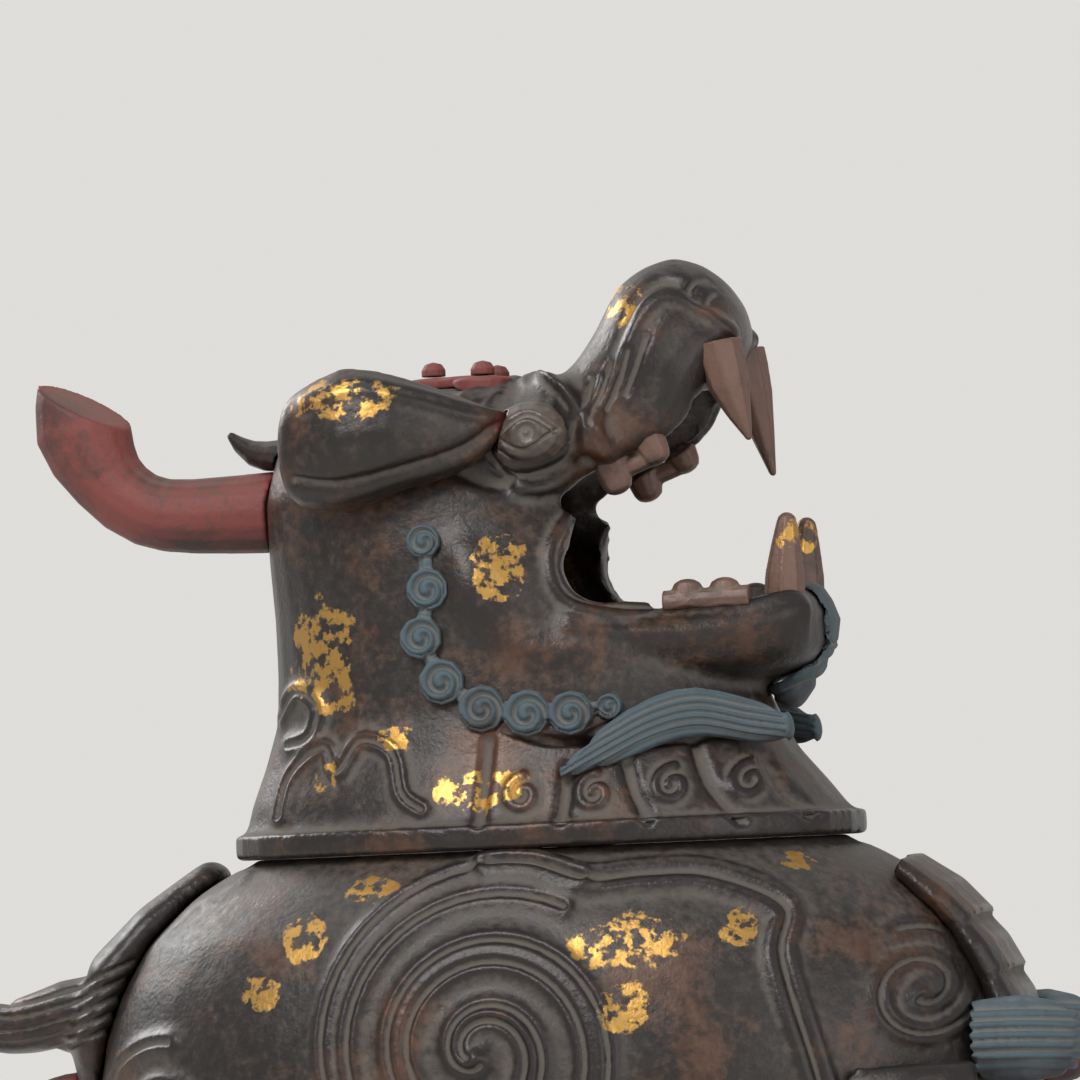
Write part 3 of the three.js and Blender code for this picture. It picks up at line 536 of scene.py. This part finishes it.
class HeadRelief:
    """The head's chasing: lips, brow, cheek, hair lines and the collar's plates."""

    LIP = [
        (58, 118), (50, 110), (46, 102), (38, 94), (30, 90.5), (20.4, 86), (14, 79),
        (10, 69.5), (12, 61), (19, 57), (33.8, 55.5), (53.6, 56), (72, 60),
    ]
    CHEEK = [(-12, 70), (-10, 58), (-2, 49), (12, 46), (30, 48), (50, 49), (66, 52)]
    BROW = [(-12, 107), (0, 110), (10, 108), (17, 102), (20, 96)]
    SOCKET = [(-13, 92), (-4, 88), (8, 88), (17, 92)]
    NOSE = [(24, 113), (28, 122), (31, 130), (37, 134), (46, 130), (55, 121)]
    MUZZLE_EDGE = [(20.4, 100), (23.3, 109), (27.5, 118), (32, 126), (38, 130), (46, 127), (54, 119)]
    LIP_FOLD = [(24, 94), (32, 97.5), (38, 103), (42, 111), (47, 118), (53, 121)]
    JAW_FOLD = [(14, 53), (30, 50.5), (46, 50.5), (60, 53.5), (70, 57)]
    EYE = (5.0, 98.5)
    NOSTRIL = (46.0, 131.0)
    BROW_BEADS = [(-3.8, 111), (2, 111), (8, 109.5), (13.5, 108)]
    PLATES = [
        [(-6.2, 25.4), (-7.0, 16), (-7.8, 6.8)],
        [(12.7, 18.5), (12.5, 12), (11.9, 6.4)],
        [(26.8, 19.1), (29, 12), (32.4, 5.5)],
        [(41.8, 23.3), (46, 13), (53.3, 4.5)],
        [(56.4, 19), (61, 11), (68.1, 5.1)],
    ]
    COMMAS = [(2.5, 12.5), (19.5, 12.0), (37, 13.0), (54, 13.5)]
    NAPE_LOCK = [(-62, 34), (-56, 40), (-50, 36), (-52, 29), (-58, 27)]
    BRACKET = [(-60, 10), (-57, 20), (-48, 26), (-44, 20), (-38, 27), (-30, 24), (-27, 14), (-22, 10)]

    def relief(self) -> Relief:
        """Everything that is chased and gilded on the head."""
        chases = [
            Chase(smooth_line(self.LIP), 1.4, 1.3, 1.4),
            Chase(smooth_line(self.LIP), 0.8, -1.0),
            Chase(smooth_line(self.CHEEK), 5.0, 1.6),
            Chase(smooth_line(self.BROW), 2.6, 2.6, 1.2, False),
            Chase(smooth_line(self.SOCKET), 2.0, -2.4),
            Chase(smooth_line(self.NOSE), 1.4, -1.5),
            Chase(smooth_line(self.MUZZLE_EDGE), 1.8, 1.6, 0.6),
            Chase(smooth_line(self.LIP_FOLD), 3.4, 2.2, 1.2),
            Chase(smooth_line(self.JAW_FOLD), 2.6, 1.5, 0.8),
            Chase(spiral(self.NOSTRIL, 4.4, 0.9, 20, 2.0), 1.1, -1.8),
            Chase(np.array([self.EYE, (self.EYE[0] + 0.1, self.EYE[1])]), 2.2, 2.2, 12.0),
            Chase(np.array([self.EYE, (self.EYE[0] + 0.1, self.EYE[1])]), 1.6, -2.4, 10.0),
            Chase(np.array([(-6, 63), (-4, 61)]), 9.0, 2.6),
            Chase(np.array([(33, 117), (38, 124)]), 7.0, 2.2),
            Chase(smooth_line(self.BRACKET), 1.5, 1.4, 1.0),
            Chase(smooth_line(self.BRACKET), 0.8, -1.0),
            Chase(smooth_line(self.NAPE_LOCK), 1.6, 1.3, 1.2),
            Chase(smooth_line(self.NAPE_LOCK), 0.8, -1.0),
        ]
        for wrinkle in range(4):
            line = [
                (14 + 4.6 * wrinkle, 97 + 3.4 * wrinkle),
                (18 + 4.4 * wrinkle, 104 + 3.6 * wrinkle),
                (20 + 4.4 * wrinkle, 111 + 3.0 * wrinkle),
            ]
            chases.append(Chase(smooth_line(line), 0.9, -1.1))
        for x, z in self.BROW_BEADS:
            chases.append(Chase(np.array([(x, z), (x + 0.1, z)]), 2.2, 2.0, 1.0, False))
        for points in self.PLATES:
            chases.append(Chase(smooth_line(points), 1.3, -1.5, 0.3))
        for centre in self.COMMAS:
            chases.append(Chase(spiral(centre, 4.6, 1.2, 90, 1.0), 1.0, 1.1, 0.3))
        for row in range(11):
            drop = 3.1 * row
            hair = [
                (-2 + 2.5 * row, 28 - 0.15 * drop),
                (10 + 3.4 * row, 24.5),
                (24 + 3.6 * row, 29),
                (40 + 2.6 * row, 33),
            ]
            chases.append(Chase(smooth_line(hair), 0.7, -1.0))
        patches = [
            Patch("gold", (-3, 66), (7, 9)),
            Patch("gold", (26, 129), (6, 6)),
            Patch("gold", (-48, 47), (10, 15)),
            Patch("gold", (-29, 27), (7, 4)),
            Patch("gold", (-6, 15), (9, 6)),
            Patch("gold", (-17, 15), (3, 4)),
            Patch("gold", (-47, 19), (5, 6), 0.8),
        ]
        return Relief(chases, patches)


class HairCurls:
    """The spiral curls that stand under the cheek, each a coiled bead round a ball."""

    ROUTE = [
        (-20.6, 74, 5), (-19.9, 62.5, 6), (-21.9, 51, 6), (-17.2, 40.3, 6.4),
        (-7.6, 33.4, 6.6), (3.2, 31.8, 6.6), (13.4, 31.4, 6.2), (22.4, 32.6, 4),
    ]

    def relief(self) -> Relief:
        """One spiral groove for each curl."""
        chases = []
        for x, z, radius in self.ROUTE:
            chases.append(Chase(spiral((x, z), radius - 0.8, 1.5, 200, 1.2), 0.75, -1.5))
        return Relief(chases)


@dataclass(frozen=True)
class PieceSpec:
    """How one node is made: its body, mesh fineness, finish, record slot and relief."""

    node: str
    body: str
    voxel: float
    smooth: int
    finish: Finish
    slot: str
    relief: Relief = field(default_factory=Relief)
    levels: int = 0
    crisp: tuple[float, float] | None = None


class Censer:
    """The whole object: every node's fine piece, in its finish."""

    WHISKER = [(12, 17.5), (22, 23), (33, 28.5), (43, 30.5), (54, 28), (62, 26.5)]
    FANG_TIP = (63.5, 73.0)
    CHEST_CURL = [(100, -50), (116, -50), (130, -51)]
    TAIL = [(-160, -20), (-140, -38), (-118, -36), (-100, -30)]
    EAR_FOLD = [(-50, 90), (-38, 88), (-22, 91), (-8, 96), (0, 103)]
    EAR_RIM = [(-46, 108), (-34, 111), (-20, 108), (-8, 104), (0, 103)]

    def __init__(self) -> None:
        self.datum = Datum()
        self.materials: dict[str, bpy.types.Material] = {}

    def material(self, finish: Finish) -> bpy.types.Material:
        """The finish's material, built once."""
        if finish.name not in self.materials:
            self.materials[finish.name] = build_material(finish)
        return self.materials[finish.name]

    def ribs(self, points: list[tuple[float, float]], pitch: float, count: int) -> Relief:
        """Parallel lines combed along a lock of hair.

        Args:
            points: the middle line's points.
            pitch: the distance between neighbouring lines, in millimetres.
            count: how many lines there are.

        Returns:
            The combed grooves.
        """
        shifts = [(i - (count - 1) / 2) * pitch for i in range(count)]
        lines = [smooth_line([(x, z + shift) for x, z in points]) for shift in shifts]
        return Relief([Chase(line, 0.55, -1.0, 0.0, False) for line in lines])

    def shoulder(self, centre: tuple[float, float], turns: float) -> Relief:
        """A raised spiral where a leg meets the barrel, with combed lines down the shin."""
        chases = [Chase(spiral(centre, 14, turns, 90), 1.8, 1.5, 0.8)]
        for offset in (-6, 0, 6):
            shin = [
                (centre[0] + offset, -92),
                (centre[0] + 0.6 * offset - 3, -110),
                (centre[0] + 0.5 * offset - 2, -126),
            ]
            chases.append(Chase(smooth_line(shin), 1.0, -1.1))
        return Relief(chases, [Patch("gold", (centre[0] + 4, -84), (7, 6))])

    def chin_relief(self) -> Relief:
        """Two spirals on the chin's side and combed lines below them."""
        chases = [Chase(spiral(centre, 5.0, 1.4, 200, 1.0), 0.8, -1.3) for centre in ((59.5, 52.5), (67.5, 51.5))]
        for drop in (43, 39.5, 36):
            chases.append(Chase(smooth_line([(56, drop - 2), (63, drop), (71, drop + 3)]), 0.7, -0.9, 0.0, False))
        return Relief(chases)

    def eye_relief(self) -> Relief:
        """A lens-shaped iris under a lid line."""
        low = smooth_line([(-3, 98), (4, 94.5), (12, 99)])
        high = smooth_line([(-3, 98), (5, 103), (12, 99)])
        iris = np.array([(5, 98.6), (5.1, 98.6)])
        return Relief([Chase(low, 0.5, -0.7), Chase(high, 0.6, -0.9), Chase(iris, 1.0, -0.8, 1.2)])

    def specs(self) -> list[PieceSpec]:
        """Every node's way of being made."""
        lacquer = "lacquered_metal"
        ear = Relief(
            [Chase(smooth_line(self.EAR_FOLD), 1.4, -1.4), Chase(smooth_line(self.EAR_RIM), 1.6, 1.2, 0.8)],
            [Patch("gold", (-36, 108), (13, 6)), Patch("red", (-1, 101), (2.5, 2), 0.7)],
        )
        specs = [
            PieceSpec("body_shell", "body", 2.0, 18, LACQUER, lacquer, BodyRelief().relief(), 2, (-2.6, 1.0)),
            PieceSpec("head_shell", "head_lid", 1.2, 12, LACQUER, lacquer, HeadRelief().relief(), 1, (-1.0, 6.6)),
            PieceSpec("tail", "body", 1.3, 8, LACQUER, lacquer, self.ribs(self.TAIL, 3.4, 5), 1),
            PieceSpec("chest_plates", "body", 0.8, 4, LACQUER, lacquer),
            PieceSpec("tail_flame", "body", 0.6, 4, HORN_RED, "red_pigment"),
            PieceSpec("chest_flame", "body", 0.6, 4, HORN_RED, "red_pigment"),
            PieceSpec("horn", "head_lid", 0.6, 5, HORN_RED, "red_pigment"),
            PieceSpec("nape_lock", "head_lid", 0.45, 4, LACQUER, lacquer),
            PieceSpec("tongue", "head_lid", 0.5, 4, HORN_RED, "red_pigment"),
            PieceSpec("chin_tuft", "head_lid", 0.45, 4, BLUE, "blue_pigment", self.chin_relief()),
            PieceSpec("crest", "head_lid", 0.4, 3, HORN_RED, "red_pigment"),
            PieceSpec("spigot_ring", "head_lid", 0.6, 1, BRASS, "liner_metal"),
            PieceSpec("incense_liner", "liner", 0.6, 1, BRASS, "liner_metal"),
        ]
        specs += [PieceSpec(f"crest_stud_{i}", "head_lid", 0.25, 2, HORN_RED, "red_pigment") for i in (1, 2, 3)]
        for side in MIRRORED_SIDES:
            specs += [
                PieceSpec(f"front_leg_{side}", "body", 1.5, 10, LACQUER, lacquer, self.shoulder((80, -68), 1.7), 1),
                PieceSpec(f"rear_leg_{side}", "body", 1.5, 10, LACQUER, lacquer, self.shoulder((-73, -68), -1.7), 1),
                PieceSpec(f"chest_curl_{side}", "body", 0.5, 4, BLUE, "blue_pigment", self.ribs(self.CHEST_CURL, 2.6, 7)),
                PieceSpec(f"ear_{side}", "head_lid", 1.0, 12, LACQUER, lacquer, ear, 1),
                PieceSpec(f"eye_{side}", "head_lid", 0.35, 3, EYE, lacquer, self.eye_relief()),
                PieceSpec(f"hair_curls_{side}", "head_lid", 0.35, 4, BLUE, "blue_pigment", HairCurls().relief()),
                PieceSpec(f"whisker_{side}", "head_lid", 0.35, 3, BLUE, "blue_pigment", self.ribs(self.WHISKER, 1.9, 5)),
            ]
            tip = Relief([], [Patch("gold", self.FANG_TIP, (3.5, 5.0), 1.0)])
            for tooth in ("upper_fang", "lower_fang", "upper_teeth", "lower_teeth"):
                relief = tip if tooth == "lower_fang" else Relief()
                specs.append(PieceSpec(f"{tooth}_{side}", "head_lid", 0.35, 4, TOOTH, "tooth_gilt", relief))
        return specs

    def build(self) -> None:
        """Makes every piece."""
        for spec in self.specs():
            piece = CastPiece(
                spec.node, spec.body, spec.voxel, spec.smooth, spec.levels, spec.crisp, self.datum
            )
            piece.chase(spec.relief)
            piece.finish(self.material(spec.finish), spec.slot)
            log.info("%s: %d vertices", spec.node, len(piece.object.data.vertices))


@dataclass(frozen=True)
class Studio:
    """The camera, the lights and the backdrop.

    Attributes:
        azimuth: how far the camera is turned towards the front, in degrees.
        distance: from the camera to the object's middle plane, in metres.
        width: how much of the middle plane the picture spans, in metres.
        target: the point in the picture's middle, in millimetres about the joint face's middle.
        roll: how far the object leans to the left in the picture, in degrees.
        paper: the backdrop's colour.
        fade: where the backdrop turns evenly pale, in metres from the object.
    """

    azimuth: float = 10.0
    distance: float = 1.8
    width: float = 0.2621
    target: tuple[float, float, float] = (0.45, 0.0, 74.6)
    roll: float = 2.58
    paper: tuple[float, float, float] = (0.74, 0.725, 0.70)
    fade: tuple[float, float] = (1.0, 4.0)

    def camera(self, datum: Datum) -> None:
        """Places the camera at the joint face's height, looking slightly up."""
        aim = Vector((datum.x + self.target[0] * MM, self.target[1] * MM, datum.z + self.target[2] * MM))
        turn = math.radians(self.azimuth)
        place = aim + Vector((math.sin(turn), -math.cos(turn), 0.0)) * self.distance
        place.z = datum.z
        data = bpy.data.cameras.new("camera")
        data.sensor_width = 36.0
        data.lens = data.sensor_width * self.distance / self.width
        data.clip_end = 100.0
        camera = bpy.data.objects.new("camera", data)
        bpy.context.scene.collection.objects.link(camera)
        look = (aim - place).to_track_quat("-Z", "Y").to_matrix().to_4x4()
        camera.matrix_world = Matrix.Translation(place) @ look @ Matrix.Rotation(-math.radians(self.roll), 4, "Z")
        bpy.context.scene.camera = camera

    def light(self, name: str, place: tuple[float, float, float], size: float, power: float, datum: Datum) -> None:
        """A square lamp aimed at the head."""
        data = bpy.data.lights.new(name, "AREA")
        data.size = size
        data.energy = power
        lamp = bpy.data.objects.new(name, data)
        bpy.context.scene.collection.objects.link(lamp)
        aim = Vector((datum.x, 0.0, datum.z + 0.04))
        lamp.matrix_world = (
            Matrix.Translation(Vector(place)) @ (aim - Vector(place)).to_track_quat("-Z", "Y").to_matrix().to_4x4()
        )

    def sweep(self) -> None:
        """A pale floor that curves up into a pale backdrop."""
        bend, near, far, high, half = 4.0, -9.0, 10.0, 9.0, 12.0
        profile = [(near, 0.0), (far - bend, 0.0)]
        turns = [math.radians(5 * i) for i in range(1, 19)]
        profile += [(far - bend + bend * math.sin(a), bend - bend * math.cos(a)) for a in turns]
        profile.append((far, high))
        points = [(x, y, z) for y, z in profile for x in (-half, half)]
        faces = [(2 * i, 2 * i + 1, 2 * i + 3, 2 * i + 2) for i in range(len(profile) - 1)]
        mesh = bpy.data.meshes.new("backdrop")
        mesh.from_pydata(points, [], faces)
        mesh.polygons.foreach_set("use_smooth", [True] * len(faces))
        mesh.materials.append(self.backdrop_material())
        sweep = bpy.data.objects.new("backdrop", mesh)
        bpy.context.scene.collection.objects.link(sweep)

    def backdrop_material(self) -> bpy.types.Material:
        """Pale matt paper that keeps the object's shadow near it and is evenly pale far from it."""
        shader = Shader("backdrop")
        shader.principled.inputs["Base Color"].default_value = (*self.paper, 1.0)
        shader.principled.inputs["Roughness"].default_value = 0.9
        place = shader.node("TexCoord")
        distance = shader.node("VectorMath", operation="LENGTH")
        shader.link(place.outputs["Object"], distance.inputs[0])
        far = shader.ramp(distance.outputs["Value"], *self.fade)
        rays = shader.node("LightPath")
        seen = shader.math("MAXIMUM", rays.outputs["Is Camera Ray"], rays.outputs["Is Glossy Ray"])
        glow = shader.node("Emission", Color=(*self.paper, 1.0), Strength=1.0)
        blend = shader.node("MixShader")
        shader.link(shader.math("MULTIPLY", far, seen), blend.inputs["Fac"])
        shader.link(shader.principled.outputs["BSDF"], blend.inputs[1])
        shader.link(glow.outputs["Emission"], blend.inputs[2])
        shader.link(blend.outputs["Shader"], shader.tree.nodes["Material Output"].inputs["Surface"])
        return shader.material

    def build(self, datum: Datum) -> None:
        """Sets up the camera, the lights, the backdrop and the world."""
        self.camera(datum)
        self.sweep()
        self.light("key", (-0.35, -1.1, 1.25), 0.7, 19.0, datum)
        self.light("fill", (1.3, -1.0, 0.5), 1.0, 7.0, datum)
        self.light("rim", (-1.0, 0.7, 0.9), 0.6, 10.0, datum)
        world = bpy.data.worlds.new("studio")
        world.use_nodes = True
        background = world.node_tree.nodes["Background"]
        background.inputs["Color"].default_value = (0.85, 0.87, 0.9, 1.0)
        background.inputs["Strength"].default_value = 0.6
        scene = bpy.context.scene
        scene.world = world
        scene.view_settings.view_transform = "Standard"


def main() -> None:
    """Builds the object and its studio."""
    logging.basicConfig(level=logging.INFO)
    censer = Censer()
    Studio().build(censer.datum)
    censer.build()


if __name__ == "__main__":
    main()
